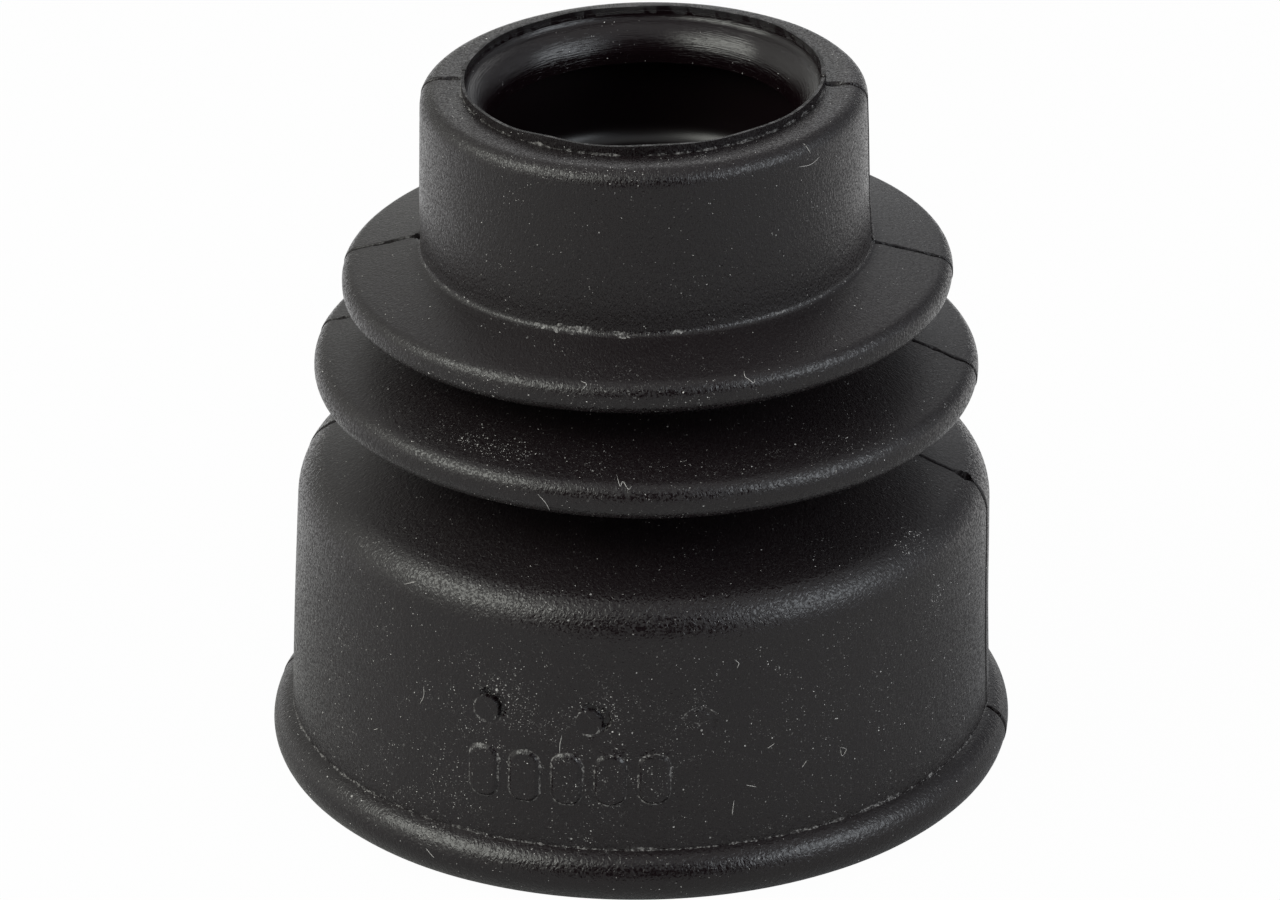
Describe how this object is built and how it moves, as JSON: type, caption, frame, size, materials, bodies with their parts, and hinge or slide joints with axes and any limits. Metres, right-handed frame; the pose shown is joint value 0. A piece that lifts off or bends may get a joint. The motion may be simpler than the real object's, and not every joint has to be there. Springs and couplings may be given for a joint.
{
  "type": "rubber bellows boot",
  "caption": "Moulded rubber bellows boot: a short collar with an inner groove for a ring, thin folds, a sloping shoulder and a wide skirt that ends in a round bead.",
  "frame": {"origin": "centre of the circle that the boot stands on, at the open edge of the large end", "axes": "+Z along the boot's axis, from the large end to the small end; the outer mould halves part along the XZ plane; -Y faces the side with the moulding marks"},
  "size_m": [0.08, 0.08, 0.0777],
  "materials": {
    "rubber": "black moulded rubber with a fine sandblasted mould grain, smooth and glossy inside the mouth, lightly dusty"
  },
  "bodies": {
    "root": {"bellows_boot": "rubber"}
  },
  "joints": []
}
